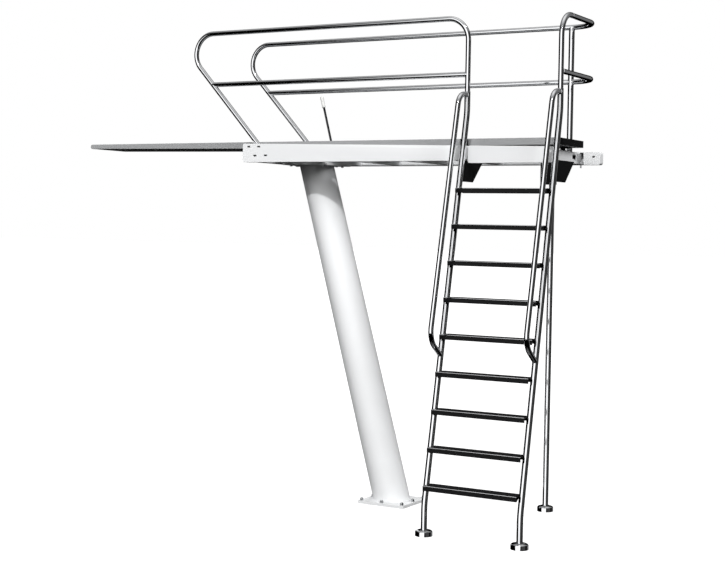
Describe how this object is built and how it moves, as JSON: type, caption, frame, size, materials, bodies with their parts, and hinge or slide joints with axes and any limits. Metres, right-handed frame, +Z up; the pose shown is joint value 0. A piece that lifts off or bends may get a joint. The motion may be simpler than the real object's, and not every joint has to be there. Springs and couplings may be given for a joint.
{
  "type": "diving board",
  "caption": "Springboard on a leaning tubular column with an adjustable roller fulcrum, tubular guard rails and a side ladder with looped handrails.",
  "frame": {"origin": "centre of the column base plate's underside, on the deck", "axes": "-X towards the board's free tip, +X towards the ladder end, -Y the ladder side, +Z up"},
  "size_m": [4.9375, 1.577, 4.0811],
  "materials": {
    "white_powder_coat": "white powder coat on welded steel, satin",
    "polished_stainless": "polished stainless steel tube",
    "zinc_steel": "zinc plated steel",
    "black_paint": "black paint on steel plate",
    "dark_steel": "dark oiled steel",
    "grey_aluminium": "grey coated extruded aluminium",
    "grey_grip": "gritty non-slip coating",
    "black_rubber": "matt black rubber",
    "black_tread": "black coated folded metal tread",
    "white_plastic": "white moulded hand grip",
    "galvanised_grey": "dull galvanised steel"
  },
  "bodies": {
    "frame": {"base_plate": "white_powder_coat", "column": "white_powder_coat", "column_head_plate": "white_powder_coat", "near_beam": "white_powder_coat", "near_entry_beam": "white_powder_coat", "far_beam": "white_powder_coat", "front_cross_member": "white_powder_coat", "column_cross_members": "white_powder_coat", "middle_cross_members": "white_powder_coat", "hinge_cross_member": "white_powder_coat", "rear_end_plate": "white_powder_coat", "near_guard_rail": "polished_stainless", "near_mid_rail": "polished_stainless", "far_guard_rail": "polished_stainless", "far_mid_rail": "polished_stainless", "rear_top_rail": "polished_stainless", "rear_upright": "polished_stainless", "far_post": "polished_stainless", "ladder_stringer_left": "polished_stainless", "ladder_stringer_right": "polished_stainless", "handrail_loop_left": "polished_stainless", "handrail_loop_right": "polished_stainless", "rear_leg": "polished_stainless", "foot_flanges": "polished_stainless", "anchor_nuts": "zinc_steel", "column_head_bolts": "zinc_steel", "hinge_pins": "zinc_steel", "rail_foot_plates": "black_paint", "rail_foot_screws": "black_paint", "ladder_gussets": "black_paint", "ladder_side_plate": "black_paint", "hinge_lugs": "black_paint", "fulcrum_tracks": "dark_steel", "board_side_guides": "black_rubber", "tread_grips": "black_rubber", "tread_1": "black_tread", "tread_2": "black_tread", "tread_3": "black_tread", "tread_4": "black_tread", "tread_5": "black_tread", "tread_6": "black_tread", "tread_7": "black_tread", "tread_8": "black_tread", "tread_9": "black_tread", "rear_corner_bracket": "galvanised_grey"},
    "fulcrum": {"carriage_cheeks": "black_paint", "carriage_tie_bars": "zinc_steel", "fulcrum_axle": "zinc_steel"},
    "roller": {"fulcrum_roller": "dark_steel", "roller_sleeve": "black_rubber"},
    "clamp": {"clamp_shaft": "dark_steel", "clamp_lever": "dark_steel", "lever_grip": "white_plastic"},
    "board": {"springboard": "grey_aluminium", "board_grip_surface": "grey_grip", "board_end_cap": "black_rubber", "board_knuckles": "black_paint"},
    "cover_left": {"flange_cover_left": "polished_stainless"},
    "cover_right": {"flange_cover_right": "polished_stainless"},
    "cover_leg": {"flange_cover_leg": "polished_stainless"}
  },
  "joints": [
    {"name": "fulcrum_slide", "type": "slide", "parent": "frame", "child": "fulcrum", "axis": [1, 0, 0], "range_m": [-0.28, 0.28]},
    {"name": "roller_spin", "type": "hinge", "parent": "fulcrum", "child": "roller", "pos_m": [-0.85, 0, 3.0037], "axis": [0, 1, 0], "range_deg": [-410, 410]},
    {"name": "clamp_turn", "type": "hinge", "parent": "fulcrum", "child": "clamp", "pos_m": [-0.85, 0.322, 3.0037], "axis": [0, 1, 0], "range_deg": [0, 40]},
    {"name": "board_hinge", "type": "hinge", "parent": "frame", "child": "board", "pos_m": [1.44, 0, 3.016], "axis": [0, 1, 0], "range_deg": [0, 6]},
    {"name": "cover_left_lift", "type": "slide", "parent": "frame", "child": "cover_left", "axis": [0, 0, 1], "range_m": [0, 0.08]},
    {"name": "cover_right_lift", "type": "slide", "parent": "frame", "child": "cover_right", "axis": [0, 0, 1], "range_m": [0, 0.08]},
    {"name": "cover_leg_lift", "type": "slide", "parent": "frame", "child": "cover_leg", "axis": [0, 0, 1], "range_m": [0, 0.08]}
  ],
  "couplings": [
    {"joint": "roller_spin", "follows": "fulcrum_slide", "rad_per_m": -25}
  ]
}
